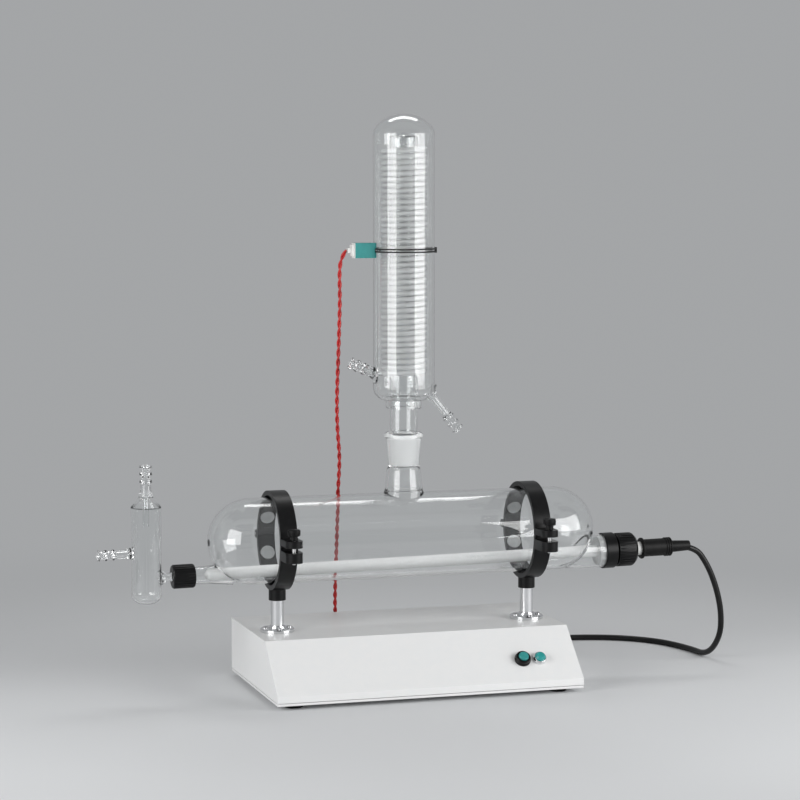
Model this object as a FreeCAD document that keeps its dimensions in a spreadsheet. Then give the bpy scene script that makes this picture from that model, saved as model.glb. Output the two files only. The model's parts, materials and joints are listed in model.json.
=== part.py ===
import FreeCAD, Part
import math
import os
import re
import Sketcher

# Every driving size, in millimetres and degrees. The row frame has its origin at the centre
# of the base footprint on the bench, X to the right, Y to the back, Z up.
SIZES = {
    "foot_height": 5, "foot_radius": 10.5, "foot_tip": 9, "foot_inset": 22, "foot_margin": 20,
    "base_length": 330, "base_depth": 200, "base_height": 58, "top_depth": 148,
    "tray_plate": 2.5, "shadow_gap": 0.8, "lip_height": 7, "cover_wall": 1.5,
    "rim_height": 5.5, "rim_gap": 0.3, "rear_flange": 9,
    "panel_screw_shank": 1.5, "panel_screw_head": 3, "panel_screw_inset": 25, "screw_gap": 0.1,
    "slope_place": 28, "button_inset": 61, "lamp_inset": 42,
    "housing_radius": 8.6, "housing_collar": 7.9, "barrel_radius": 6, "button_radius": 5.2,
    "button_top": 8, "bezel_radius": 7.5, "lens_radius": 5.6,
    "nut_flat": 8, "slide_gap": 0.25, "panel_gap": 0.1, "fit_gap": 0.02,
    "post_inset": 26.5, "post_radius": 7, "post_wall": 1.5, "flange_radius": 18, "flange_thick": 4,
    "flange_pitch": 12.8, "flange_head": 2.8, "flange_shank": 1.5,
    "boiler_place": 4, "boiler_rise": 96.5, "boiler_radius": 45, "boiler_length": 424,
    "glass_wall": 2.2, "socket_radius": 9, "socket_foot": 63, "socket_seat": 53.5,
    "jaw_inner": 47, "jaw_outer": 52, "jaw_width": 18, "jaw_split": 0.15,
    "hinge_reach": 57, "knuckle_radius": 4.5, "pin_radius": 1.5, "pin_gap": 0.05,
    "ear_reach": 70, "ear_radius": 9, "upper_ear_low": 1.5, "upper_ear_high": 8.5,
    "lower_ear_high": 3.5, "lower_ear_low": 14, "screw_slot": 3.5,
    "pad_radius": 7.5, "pad_angle": 25, "pad_recess": 48, "pad_dish": 0.4, "upper_pad_gap": 0.3,
    "shank_radius": 2, "neck_radius": 4, "neck_low": 8.8, "neck_high": 13.5,
    "knob_radius": 6.3, "knob_high": 20.5, "shank_low": 16,
    "skirt_foot": 21.2, "skirt_radius": 20, "skirt_top": 18.4, "skirt_low": 51, "skirt_high": 66.5,
    "neck_shoulder": 8, "throat_radius": 15.6, "socket_bead": 5.2,
    "cone_top_radius": 14.6, "cone_low_radius": 13,
    "cone_top": 106, "cone_low": 74, "socket_lip": 20.75, "socket_top": 110, "cone_gap": 0.08,
    "heater_drop": 30.2, "heater_tilt": 0.8, "heater_radius": 6.5, "heater_wall": 1.2,
    "heater_tip": 4, "nozzle_radius": 9, "nozzle_bore": 7.5, "nozzle_tip": 34,
    "seat_radius": 18, "seat_bore": 15.5, "seat_end": 20,
    "ring_radius": 19.35, "ring_low": 12.6, "ring_high": 26, "spigot_radius": 12,
    "spigot_end": 40, "nut_radius": 17.65, "nut_low": 28, "nut_high": 50.5,
    "sleeve_radius": 7.35, "sleeve_end": 63.4, "boot_low": 58, "boot_high": 93.3,
    "boot_radius": 9.5, "boot_rib": 2.6, "relief_radius": 6.3, "relief_tip": 5.4, "relief_end": 116,
    "lead_radius": 3.25, "wire_radius": 2.25, "element_radius": 4.2,
    "jacket_radius": 32.5, "jacket_wall": 2, "jacket_top": 443.5, "dome_height": 22.5,
    "dome_knuckle": 15, "bowl_top": 157, "seal_ring_radius": 19, "seal_ring_low": 134.6,
    "seal_ring_high": 143.1, "riser_radius": 15, "riser_wall": 1.8, "riser_top": 420,
    "coil_radius": 21.75, "coil_tube": 3.25, "coil_low": 172, "coil_pitch": 11.8,
    "coil_lead": 8, "coil_exit": 28.6, "coil_out_turn": 73,
    "barb_radius": 6.4, "barb_root": 4, "barb_bore": 2.4, "barb_pitch": 7.8, "barb_lead": 1.2,
    "barb_tip": 0.6, "tail_radius": 5.3, "tail_flare": 6, "coil_barb_rise": 22.8,
    "coil_barb_reach": 62.2, "outlet_fall": 51, "outlet_place": 29, "outlet_rise": 149.2,
    "outlet_reach": 50,
    "block_low": 293, "block_high": 309, "block_reach": 55, "block_depth": 14,
    "terminal_reach": 62, "terminal_pitch": 6, "band_wire": 0.7, "band_pitch": 2.9,
    "level_place": 65, "level_radius": 15.75, "level_wall": 1.5, "level_low": 60, "level_corner": 10,
    "level_shoulder": 40, "level_neck": 50, "level_top": 82.8,
    "drop_tube": 3.4, "drop_end": 20, "overflow_drop": 7.5, "overflow_reach": 51, "overflow_share": 0.86,
    "stub_radius": 4.75, "stub_bore": 3.5, "stub_end": 26, "cap_radius": 12, "cap_low": 15,
    "cap_high": 38.5, "cap_gap": 0.3, "seal_thick": 4,
    "rear_recess": 12, "gland_place": 110, "gland_height": 24, "gland_radius": 9,
    "grommet_place": 42, "grommet_height": 35, "grommet_radius": 6,
    "inlet_place": 30, "inlet_width": 27, "inlet_high": 19.5, "inlet_height": 34,
    "fuse_place": 65, "fuse_radius": 6, "fuse_cap_radius": 8, "fuse_length": 30,
    "relay_length": 46, "relay_width": 34, "relay_height": 26,
    "strip_length": 70, "strip_width": 20, "strip_height": 16,
}

doc = FreeCAD.newDocument("water_distiller")
sizes = doc.addObject("Spreadsheet::Sheet", "Sizes")
for row, (alias, value) in enumerate(SIZES.items(), 1):
    sizes.set(f"A{row}", alias)
    sizes.set(f"B{row}", str(value))
    sizes.setAlias(f"B{row}", alias)
doc.recompute()

NODES = []
UPRIGHT = (0, 0, 1)
ALONG_X = (1, 0, 0)
ALONG_Y = (0, 1, 0)


# Places along the heater's axis, from the middle of the boiler, as reaches past its end.
PLACES = {f"{name}_at": f"(boiler_length / 2 + {name})" for name in (
    "heater_tip", "nozzle_tip", "seat_end", "ring_low", "ring_high", "spigot_end", "nut_low", "nut_high",
    "sleeve_end", "boot_low", "boot_high", "relief_end", "level_place", "stub_end", "cap_low", "cap_high")}


def spelled(formula):
    return re.sub(r"[a-z_]+", lambda match: PLACES.get(match.group(0), match.group(0)), str(formula))


def bound(formula):
    # Names of sizes become references to the sheet, all else stays as written.
    def refer(match):
        word = match.group(0)
        return "Sizes." + word if word in SIZES else word
    return re.sub(r"[a-z_]+\b(?!\()", refer, spelled(formula))


def number(formula):
    value = sizes.evalExpression(spelled(formula))
    return float(getattr(value, "Value", value))


def tie(item, **formulas):
    for name, formula in formulas.items():
        item.setExpression(name, bound(formula))
    return item


def place(item, at=("0", "0", "0"), axis=UPRIGHT, turn="0"):
    spot = FreeCAD.Vector(*[number(f) for f in at])
    turned_by = FreeCAD.Rotation(FreeCAD.Vector(*axis), number(turn))
    item.Placement = FreeCAD.Placement(spot, turned_by)
    for letter, formula in zip("xyz", at):
        if number(formula) or not str(formula).isdigit():
            item.setExpression(f"Placement.Base.{letter}", bound(formula))
    return item


def cylinder(radius, height, at=("0", "0", "0"), axis=UPRIGHT, turn="0"):
    item = doc.addObject("Part::Cylinder", "cylinder")
    return place(tie(item, Radius=radius, Height=height), at, axis, turn)


def box(length, width, height, at=("0", "0", "0")):
    # The box is centred on X and Y and stands on Z.
    item = doc.addObject("Part::Box", "box")
    tie(item, Length=length, Width=width, Height=height)
    x, y, z = at
    return place(item, (f"{x} - ({length}) / 2", f"{y} - ({width}) / 2", z))


def sketch_of(points):
    # Points are (across, up) formulas, with an optional arc radius for the run that arrives
    # there. A positive radius turns counterclockwise.
    sketch = doc.addObject("Sketcher::SketchObject", "outline")
    spots = [FreeCAD.Vector(number(p[0]), number(p[1]), 0) for p in points]
    ends = []
    for k, spot in enumerate(spots):
        after = (k + 1) % len(points)
        target = spots[after]
        bend = points[after][2] if len(points[after]) > 2 else None
        if bend is None:
            sketch.addGeometry(Part.LineSegment(spot, target))
            ends.append((1, 2))
            continue
        radius = number(bend)
        half = (target - spot) * 0.5
        reach = math.sqrt(max(radius * radius - half.Length ** 2, 0))
        side = FreeCAD.Vector(-half.y, half.x, 0).normalize()
        centre = spot + half + side * math.copysign(reach, radius)
        first = math.atan2(spot.y - centre.y, spot.x - centre.x)
        last = math.atan2(target.y - centre.y, target.x - centre.x)
        if radius < 0:
            first, last = last, first
        if last < first:
            last += 2 * math.pi
        circle = Part.Circle(centre, FreeCAD.Vector(0, 0, 1), abs(radius))
        sketch.addGeometry(Part.ArcOfCircle(circle, first, last))
        ends.append((1, 2) if radius > 0 else (2, 1))
        sketch.addConstraint(Sketcher.Constraint("Radius", k, abs(radius)))
        tie_last(sketch, f"abs({bend})")
    for k, point in enumerate(points):
        after = (k + 1) % len(points)
        sketch.addConstraint(Sketcher.Constraint("Coincident", k, ends[k][1], after, ends[after][0]))
        for kind, line, formula in (("DistanceX", -2, point[0]), ("DistanceY", -1, point[1])):
            value = number(formula)
            if abs(value) < 1e-9:
                sketch.addConstraint(Sketcher.Constraint("PointOnObject", k, ends[k][0], line))
                continue
            sketch.addConstraint(Sketcher.Constraint(kind, -1, 1, k, ends[k][0], value))
            tie_last(sketch, formula)
    return sketch


def tie_last(sketch, formula):
    sketch.setExpression(f"Constraints[{sketch.ConstraintCount - 1}]", bound(formula))


def turned(points, at=("0", "0", "0"), axis=UPRIGHT, turn="0"):
    # Points are (radius, height) pairs, swept once round the upright axis.
    sketch = sketch_of(points)
    sketch.Placement.Rotation = FreeCAD.Rotation(FreeCAD.Vector(*ALONG_X), 90)
    item = doc.addObject("Part::Revolution", "turned")
    item.Source = sketch
    item.Axis = FreeCAD.Vector(*UPRIGHT)
    item.Angle = 360
    item.Solid = True
    return place(item, at, axis, turn)


def extruded(points, length, at=("0", "0", "0"), axis=UPRIGHT, turn="0"):
    # Points are (y, z) pairs, swept along X and centred on it.
    sketch = sketch_of(points)
    sketch.Placement.Rotation = FreeCAD.Rotation(FreeCAD.Vector(1, 1, 1), 120)
    item = doc.addObject("Part::Extrusion", "extruded")
    item.Base = sketch
    item.DirMode = "Normal"
    item.Solid = True
    item.Symmetric = True
    tie(item, LengthFwd=length)
    return place(item, at, axis, turn)


def fused(*items):
    item = doc.addObject("Part::MultiFuse", "fused")
    item.Shapes = list(items)
    return item


def less(base, *tools):
    item = doc.addObject("Part::Cut", "cut")
    item.Base = base
    item.Tool = tools[0] if len(tools) == 1 else fused(*tools)
    return item


def common(first, second):
    item = doc.addObject("Part::MultiCommon", "common")
    item.Shapes = [first, second]
    return item


def named(item, label):
    item.Label = label
    NODES.append(item)
    return item


def ring(inner, outer, low, high, at=("0", "0", "0"), axis=UPRIGHT, turn="0"):
    return turned([(inner, low), (outer, low), (outer, high), (inner, high)], at, axis, turn)


def rod(radius, low, high, at=("0", "0", "0"), axis=UPRIGHT, turn="0"):
    return turned([("0", low), (radius, low), (radius, high), ("0", high)], at, axis, turn)


# Heights and directions that several pieces share.
BUTTON_X = "(base_length / 2 - button_inset)"
LAMP_X = "(base_length / 2 - lamp_inset)"
BASE_TOP = "(foot_height + base_height)"
TRAY_TOP = "(foot_height + tray_plate)"
COVER_LOW = f"({TRAY_TOP} + shadow_gap)"
LIP_TOP = f"({COVER_LOW} + lip_height)"
SLOPE_RUN = "(base_depth - top_depth)"
SLOPE = f"atan(({BASE_TOP} - {LIP_TOP}) / {SLOPE_RUN})"
BOILER_Z = f"({BASE_TOP} + boiler_rise)"
AXIS = ("0", "boiler_place", BOILER_Z)
HEATER = ("0", "boiler_place", f"{BOILER_Z} - heater_drop")
HEATER_TURN = "90 - heater_tilt"


def on_heater(make, *words):
    # A turned piece whose heights run along the heater's axis, from the middle of the boiler.
    return make(*words, at=HEATER, axis=ALONG_Y, turn=HEATER_TURN)


def across(make, *words, x="0", y="0", z="0"):
    # A turned piece whose heights run along X.
    return make(*words, at=(x, y, z), axis=ALONG_Y, turn="90")


def slope_at(x, lift="0"):
    # A point on the front slope, slope_place up from its lower edge, lifted off along the normal.
    y = f"-base_depth / 2 + slope_place * cos({SLOPE}) - ({lift}) * sin({SLOPE})"
    z = f"{LIP_TOP} + slope_place * sin({SLOPE}) + ({lift}) * cos({SLOPE})"
    return (x, y, z)


def on_slope(make, *words, x="0"):
    return make(*words, at=slope_at(x), axis=ALONG_X, turn=SLOPE)


def rear_at(x, height):
    # A point on the outer face of the rear panel.
    return (x, "base_depth / 2 - rear_recess", f"foot_height + {height}")


def on_rear(make, *words, x="0", height="0"):
    # A turned piece whose heights run out of the rear panel, along Y.
    return make(*words, at=rear_at(x, height), axis=ALONG_X, turn="-90")


def on_flange(make, *words, x="0"):
    # A turned piece whose heights run out of the cover's rear flange, along Y.
    at = (x, "base_depth / 2", f"{BASE_TOP} - rear_flange / 2")
    return make(*words, at=at, axis=ALONG_X, turn="-90")


def countersunk(grow, low):
    # The outline of a countersunk screw, or of its hole when grown.
    shank = f"panel_screw_shank + {grow}"
    return [("0", low), (shank, low), (shank, "-cover_wall"), (f"panel_screw_head + {grow}", "0"),
            ("0", "0")]


def mirror_places(pitch):
    return [f"-({pitch})", f"{pitch}"]


def base_cover():
    outer = extruded([
        ("-base_depth / 2", COVER_LOW), ("base_depth / 2", COVER_LOW), ("base_depth / 2", BASE_TOP),
        ("base_depth / 2 - top_depth", BASE_TOP), ("-base_depth / 2", LIP_TOP)], "base_length")
    lip_drop = f"cover_wall * (1 - sin({SLOPE})) / cos({SLOPE})"
    top_shift = f"cover_wall * (1 - cos({SLOPE})) / sin({SLOPE})"
    inner = extruded([
        ("-base_depth / 2 + cover_wall", f"{COVER_LOW} - 1"),
        ("base_depth / 2 + 1", f"{COVER_LOW} - 1"),
        ("base_depth / 2 + 1", f"{BASE_TOP} - rear_flange"),
        ("base_depth / 2 - cover_wall", f"{BASE_TOP} - rear_flange"),
        ("base_depth / 2 - cover_wall", f"{BASE_TOP} - cover_wall"),
        (f"base_depth / 2 - top_depth + {top_shift}", f"{BASE_TOP} - cover_wall"),
        ("-base_depth / 2 + cover_wall", f"{LIP_TOP} - {lip_drop}")], "base_length - 2 * cover_wall")
    holes = []
    for x in (BUTTON_X, LAMP_X):
        holes.append(on_slope(rod, "barrel_radius + panel_gap", "-5", "5", x=x))
    for side in mirror_places("base_length / 2 - post_inset"):
        for shift, back in flange_spots():
            holes.append(cylinder("flange_shank + screw_gap", "8",
                                  (f"{side} + {shift}", f"boiler_place + {back}", f"{BASE_TOP} - 4")))
    for x in panel_screw_places():
        holes.append(on_flange(turned, countersunk("fit_gap", "-cover_wall - 1"), x=x))
    named(less(outer, inner, *holes), "base_cover")


def flange_spots():
    return [("-flange_pitch", "0"), ("flange_pitch", "0"), ("0", "-flange_pitch"), ("0", "flange_pitch")]


def panel_screw_places():
    return ["panel_screw_inset - base_length / 2", "0", "base_length / 2 - panel_screw_inset"]


def base_tray():
    inset = "(cover_wall + rim_gap)"
    plate = box("base_length", "base_depth", "tray_plate", ("0", "0", "foot_height"))
    front = box(f"base_length - 2 * {inset}", "cover_wall", "rim_height",
                ("0", f"-base_depth / 2 + {inset} + cover_wall / 2", TRAY_TOP))
    rims = [front]
    for side in ("-1", "1"):
        rims.append(box("cover_wall", f"base_depth - 2 * {inset} - 4 * cover_wall", "rim_height",
                        (f"{side} * (base_length / 2 - {inset} - cover_wall / 2)", "0", TRAY_TOP)))
    named(fused(plate, *rims), "base_tray")


def rear_panel():
    # A recessed plate with a shelf and a lip that meet the underside and the flange of the cover.
    width = "base_length - 2 * (2 * cover_wall + 2 * rim_gap)"
    top = f"{BASE_TOP} - cover_wall"
    plate = box(width, "cover_wall", f"{top} - {TRAY_TOP}",
                ("0", "base_depth / 2 - rear_recess - cover_wall / 2", TRAY_TOP))
    shelf = box(width, "rear_recess", "cover_wall",
                ("0", "base_depth / 2 - cover_wall - rear_recess / 2", f"{top} - cover_wall"))
    lip = box(width, "cover_wall", "rear_flange - cover_wall",
              ("0", "base_depth / 2 - cover_wall * 1.5", f"{BASE_TOP} - rear_flange"))
    holes = [on_rear(rod, "grommet_radius - 1.5", "-5", "5", x="-grommet_place", height="grommet_height"),
             on_rear(rod, "gland_radius - 2.5", "-5", "5", x="gland_place", height="gland_height"),
             on_rear(rod, "fuse_radius + panel_gap", "-5", "5", x="fuse_place", height="inlet_height"),
             box("inlet_width", "10", "inlet_high",
                 ("inlet_place", "base_depth / 2 - rear_recess",
                  "foot_height + inlet_height - inlet_high / 2"))]
    for x in panel_screw_places():
        holes.append(on_flange(rod, "panel_screw_shank + fit_gap", "-6", "1", x=x))
    named(less(fused(plate, shelf, lip), *holes), "rear_panel")


def rubber_feet():
    # One foot near each corner, and one under the middle.
    spots = [("0", "0")]
    for side in ("-1", "1"):
        for end in ("-1", "1"):
            spots.append((f"{side} * (base_length / 2 - foot_inset)",
                          f"{end} * (base_depth / 2 - foot_margin)"))
    outline = [("0", "0"), ("foot_tip", "0"), ("foot_radius", "foot_height"), ("0", "foot_height")]
    named(fused(*[turned(outline, (x, y, "0")) for x, y in spots]), "rubber_feet")


def panel_screws():
    screws = [on_flange(turned, countersunk("0", "-6"), x=x) for x in panel_screw_places()]
    named(fused(*screws), "panel_screws")


def post_set(side, x):
    seat_z = f"({BOILER_Z} - socket_seat)"
    named(ring("post_radius - post_wall", "post_radius", "0", f"{seat_z} - {BASE_TOP}",
               (x, "boiler_place", BASE_TOP)), f"post_{side}")
    flange = turned([
        ("post_radius + fit_gap", "0"), ("flange_radius", "0"), ("flange_radius", "flange_thick - 1"),
        ("flange_radius - 1", "flange_thick"), ("post_radius + 2.5", "flange_thick"),
        ("post_radius + 1.5", "flange_thick + 2.5"), ("post_radius + fit_gap", "flange_thick + 2.5")],
        (x, "boiler_place", BASE_TOP))
    holes = [cylinder("flange_shank + fit_gap", "flange_thick + 2",
                      (f"{x} + {shift}", f"boiler_place + {back}", f"{BASE_TOP} - 1"))
             for shift, back in flange_spots()]
    named(less(flange, *holes), f"post_flange_{side}")
    screws = [turned([
        ("0", "-6"), ("flange_shank", "-6"), ("flange_shank", "flange_thick"),
        ("flange_head", "flange_thick"), ("flange_head", "flange_thick + 0.8"),
        ("flange_head - 1", "flange_thick + 1.8"), ("0", "flange_thick + 1.8")],
        (f"{x} + {shift}", f"boiler_place + {back}", BASE_TOP)) for shift, back in flange_spots()]
    named(fused(*screws), f"flange_screws_{side}")


def pad_point(angle, reach):
    # A point at an angle round the boiler, from the rear towards the top.
    return (f"boiler_place + ({reach}) * cos({angle})", f"{BOILER_Z} + ({reach}) * sin({angle})")


def pad_disc(x, angle, low, high, radius):
    y, z = pad_point(angle, low)
    return cylinder(radius, f"({high}) - ({low})", (x, y, z), ALONG_X, f"({angle}) - 90")


def half_space(x, sign, low, tall="130", deep="260"):
    z = f"{BOILER_Z} + {low}" if sign > 0 else f"{BOILER_Z} - ({low}) - {tall}"
    return box("jaw_width + 20", deep, tall, (x, "boiler_place", z))


def ear(x, low, high):
    plate = box("jaw_width", "ear_reach - jaw_inner - 2", f"({high}) - ({low})",
                (x, "boiler_place - (ear_reach + jaw_inner + 2) / 2", f"{BOILER_Z} + ({low})"))
    nose = cylinder("ear_radius", f"({high}) - ({low})",
                    (x, "boiler_place - ear_reach", f"{BOILER_Z} + ({low})"))
    return fused(plate, nose)


def knuckle(x, width, sign):
    # A hinge barrel along X and the web that ties it to the band.
    barrel = across(rod, "knuckle_radius", f"-({width}) / 2", f"({width}) / 2",
                    x=x, y="boiler_place + hinge_reach", z=BOILER_Z)
    depth = "hinge_reach - jaw_inner - 1"
    low = "jaw_split" if sign > 0 else "-knuckle_radius"
    web = box(width, depth, "knuckle_radius - jaw_split",
              (x, "boiler_place + (hinge_reach + jaw_inner + 1) / 2", f"{BOILER_Z} + ({low})"))
    return fused(barrel, web)


def pin_hole(x, gap):
    return across(rod, f"pin_radius + {gap}", "-jaw_width", "jaw_width",
                  x=x, y="boiler_place + hinge_reach", z=BOILER_Z)


def jaw_band(x):
    return across(rod, "jaw_outer", "-jaw_width / 2", "jaw_width / 2", x=x, y="boiler_place", z=BOILER_Z)


def jaw_hollow(x):
    return across(rod, "jaw_inner", "-jaw_width", "jaw_width", x=x, y="boiler_place", z=BOILER_Z)


def lower_jaw(side, x):
    socket = cylinder("socket_radius", "socket_foot - jaw_inner - 1",
                      (x, "boiler_place", f"{BOILER_Z} - socket_foot"))
    band = fused(less(jaw_band(x), half_space(x, 1, "-jaw_split")), socket,
                 ear(x, "-lower_ear_low", "-lower_ear_high"))
    bore = cylinder("post_radius + fit_gap", "socket_foot - socket_seat + 1",
                    (x, "boiler_place", f"{BOILER_Z} - socket_foot - 1"))
    slot_length = "screw_slot + 0.3"
    slot = [cylinder("shank_radius + 0.3", "lower_ear_low",
                     (x, f"boiler_place - ear_reach - {shift}", f"{BOILER_Z} - lower_ear_low - 1"))
            for shift in ("0", slot_length)]
    slot.append(box("2 * (shank_radius + 0.3)", slot_length, "lower_ear_low",
                    (x, f"boiler_place - ear_reach - ({slot_length}) / 2",
                     f"{BOILER_Z} - lower_ear_low - 1")))
    width = "(jaw_width / 3 - 0.3)"
    outer = [knuckle(f"{x} + {s} * jaw_width / 3 + {s} * 0.15", width, -1) for s in ("-1", "1")]
    recess = [pad_disc(x, angle, "jaw_inner - 3", "pad_recess", "pad_radius + fit_gap")
              for angle in ("-pad_angle", "180 + pad_angle")]
    body = less(fused(band, *outer), jaw_hollow(x), bore, pin_hole(x, "fit_gap"), *slot, *recess)
    named(body, f"lower_jaw_{side}")
    pads(x, ("-pad_angle", "180 + pad_angle"), "fit_gap", f"lower_pads_{side}")
    named(across(rod, "pin_radius", "-jaw_width / 2 - 0.5", "jaw_width / 2 + 0.5",
                 x=x, y="boiler_place + hinge_reach", z=BOILER_Z), f"hinge_pin_{side}")


def pads(x, angles, gap, label):
    # Soft discs seated in the band, each with a shallow dish towards the glass.
    face = f"boiler_radius + {gap}"
    discs = [less(pad_disc(x, angle, face, "pad_recess", "pad_radius"),
                  pad_disc(x, angle, f"{face} - 1", f"{face} + pad_dish", "pad_radius - 2.5"))
             for angle in angles]
    named(fused(*discs), label)


def upper_jaw(side, x):
    band = fused(less(jaw_band(x), half_space(x, -1, "-jaw_split")),
                 ear(x, "upper_ear_low", "upper_ear_high"), knuckle(x, "(jaw_width / 3 - 0.3)", 1))
    hole = cylinder("shank_radius + 0.3", "upper_ear_high + 2",
                    (x, "boiler_place - ear_reach", f"{BOILER_Z} - 1"))
    recess = [pad_disc(x, angle, "jaw_inner - 3", "pad_recess", "pad_radius + fit_gap")
              for angle in ("pad_angle", "180 - pad_angle")]
    body = less(band, jaw_hollow(x), hole, pin_hole(x, "pin_gap"), *recess)
    named(body, f"upper_jaw_{side}")
    pads(x, ("pad_angle", "180 - pad_angle"), "upper_pad_gap", f"upper_pads_{side}")


def thumbscrew(side, x):
    head = turned([
        ("0", "-shank_low"), ("shank_radius - 0.6", "-shank_low"), ("shank_radius", "0.6 - shank_low"),
        ("shank_radius", "neck_low"), ("neck_radius", "neck_low"), ("neck_radius", "neck_high"),
        ("knob_radius - 0.6", "neck_high"), ("knob_radius", "neck_high + 0.6"),
        ("knob_radius", "knob_high - 0.8"), ("knob_radius - 0.8", "knob_high"), ("0", "knob_high")],
        (x, "boiler_place - ear_reach", BOILER_Z))
    named(head, f"thumbscrew_{side}")


def boiler_vessel():
    # One piece of glass: a domed tube, a ground neck, and a nozzle at each end.
    bulge = "boiler_length / 2 - boiler_radius"
    inner = "(boiler_radius - glass_wall)"
    shell = across(turned, [
        ("0", "-boiler_length / 2"), ("boiler_radius", f"-({bulge})", "boiler_radius"),
        ("boiler_radius", bulge), ("0", "boiler_length / 2", "boiler_radius")],
        y="boiler_place", z=BOILER_Z)
    hollow = across(turned, [
        ("0", "-boiler_length / 2 + glass_wall"), (inner, f"-({bulge})", inner),
        (inner, bulge), ("0", "boiler_length / 2 - glass_wall", inner)],
        y="boiler_place", z=BOILER_Z)
    neck = turned([
        ("0", "38"), ("skirt_foot", "38"), ("skirt_foot", "skirt_low - 5"),
        ("skirt_radius", "skirt_low", "-6"), ("skirt_top", "skirt_high"),
        ("throat_radius", "cone_low - 1", "neck_shoulder"), ("throat_radius + 2.6", "cone_top - 4"),
        ("socket_lip", "cone_top - 1.5"), ("socket_lip - 4.5", "socket_top", "socket_bead"),
        ("0", "socket_top")], AXIS)
    throat = turned([
        ("0", "30"), ("skirt_radius - glass_wall", "30"), ("skirt_radius - glass_wall", "skirt_low"),
        ("skirt_top - glass_wall", "skirt_high - 1"), ("cone_low_radius", "cone_low", "neck_shoulder + 4"),
        ("cone_top_radius", "cone_top"), ("cone_top_radius + 1.2", "socket_top + 1"),
        ("0", "socket_top + 1")], AXIS)
    left = on_heater(turned, [
        ("0", "-nozzle_tip_at"), ("nozzle_radius - 0.8", "-nozzle_tip_at"),
        ("nozzle_radius", "0.8 - nozzle_tip_at"), ("nozzle_radius", "-2 - boiler_length / 2"),
        ("nozzle_radius + 3", "25 - boiler_length / 2"), ("0", "25 - boiler_length / 2")])
    left_bore = on_heater(turned, [
        ("0", "-nozzle_tip_at - 1"), ("nozzle_bore", "-nozzle_tip_at - 1"),
        ("nozzle_bore", "2 - boiler_length / 2"), ("nozzle_bore + 1.5", "36 - boiler_length / 2"),
        ("0", "36 - boiler_length / 2")])
    right = on_heater(turned, [
        ("0", "boiler_length / 2 - 42"), ("seat_bore - 0.5", "boiler_length / 2 - 42"),
        ("seat_radius", "boiler_length / 2 - 17"), ("seat_radius", "seat_end_at - 0.8"),
        ("seat_radius - 0.8", "seat_end_at"), ("0", "seat_end_at")])
    right_bore = on_heater(turned, [
        ("0", "boiler_length / 2 - 32"), ("seat_bore - 3.5", "boiler_length / 2 - 32"),
        ("seat_bore", "boiler_length / 2 - 12"), ("seat_bore", "seat_end_at + 1"),
        ("0", "seat_end_at + 1")])
    solid = fused(shell, neck, left, right)
    named(less(solid, hollow, throat, left_bore, right_bore), "boiler_vessel")


def heater_line():
    inner = "(heater_radius - heater_wall)"
    end = "(sleeve_end_at - 4)"
    named(on_heater(turned, [
        ("0", "-heater_tip_at"), ("heater_radius", "heater_radius - heater_tip_at", "heater_radius"),
        ("heater_radius", end), (inner, end), (inner, "heater_radius - heater_tip_at"),
        ("0", "heater_wall - heater_tip_at", f"-{inner}")]), "heater_tube")
    coil = on_heater(rod, "element_radius", "-heater_tip_at + 16", f"{end} - 20")
    discs = [on_heater(rod, f"{inner} - fit_gap", low, f"{low} + 4")
             for low in ("-heater_tip_at + 16", f"{end} - 24")]
    named(fused(coil, *discs), "heater_element")
    named(on_heater(ring, "heater_radius + fit_gap", "seat_bore - fit_gap", "seat_end_at - 14",
                    "seat_end_at"), "heater_seal")
    named(on_heater(turned, [
        ("heater_radius + fit_gap", "seat_end_at"), ("seat_radius + fit_gap", "seat_end_at"),
        ("seat_radius + fit_gap", "ring_low_at"), ("ring_radius - 0.6", "ring_low_at"),
        ("ring_radius", "ring_low_at + 0.6"), ("ring_radius", "ring_high_at - 0.6"),
        ("ring_radius - 0.6", "ring_high_at"), ("spigot_radius", "ring_high_at"),
        ("spigot_radius", "spigot_end_at"), ("heater_radius + fit_gap", "spigot_end_at")]), "heater_ring")
    thread = "spigot_radius + cap_gap"
    named(on_heater(turned, [
        (thread, "nut_low_at"), ("nut_radius - 0.5", "nut_low_at"), ("nut_radius", "nut_low_at + 0.5"),
        ("nut_radius", "nut_high_at - 3"), ("nut_radius - 3", "nut_high_at"),
        ("sleeve_radius + cap_gap", "nut_high_at"), ("sleeve_radius + cap_gap", "nut_high_at - 7"),
        (thread, "nut_high_at - 7")]), "heater_nut")
    named(on_heater(ring, "heater_radius + fit_gap", "sleeve_radius", "spigot_end_at", "sleeve_end_at"),
          "heater_sleeve")
    ribs = [(f"boot_high_at - boot_rib * {k + 1} + 1", f"boot_high_at - boot_rib * {k}") for k in range(3)]
    body = [on_heater(turned, [
        ("0", "boot_low_at"), ("boot_radius + 1.2", "boot_low_at"), ("boot_radius + 2", "boot_low_at + 1"),
        ("boot_radius + 2", "boot_low_at + 2.5"), ("boot_radius", "boot_low_at + 3.5"),
        ("boot_radius", "boot_high_at - 0.5"), ("boot_radius - 0.5", "boot_high_at"), ("0", "boot_high_at")])]
    body += [on_heater(ring, "boot_radius - 1", "boot_radius + 0.8", low, high) for low, high in ribs]
    bore = on_heater(turned, [
        ("0", "boot_low_at - 1"), ("sleeve_radius + fit_gap", "boot_low_at - 1"),
        ("sleeve_radius + fit_gap", "sleeve_end_at"), ("element_radius", "sleeve_end_at"),
        ("element_radius", "boot_high_at - 4"), ("0", "boot_high_at - 4")])
    named(less(fused(*body), bore), "heater_boot")
    hold = "(lead_radius + fit_gap)"
    named(on_heater(turned, [
        (hold, "boot_high_at"), ("relief_radius", "boot_high_at"), ("relief_radius", "boot_high_at + 5"),
        ("relief_tip", "relief_end_at"), (f"{hold} + 1.6", "relief_end_at"), (hold, "relief_end_at - 12")]),
        "strain_relief")


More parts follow.
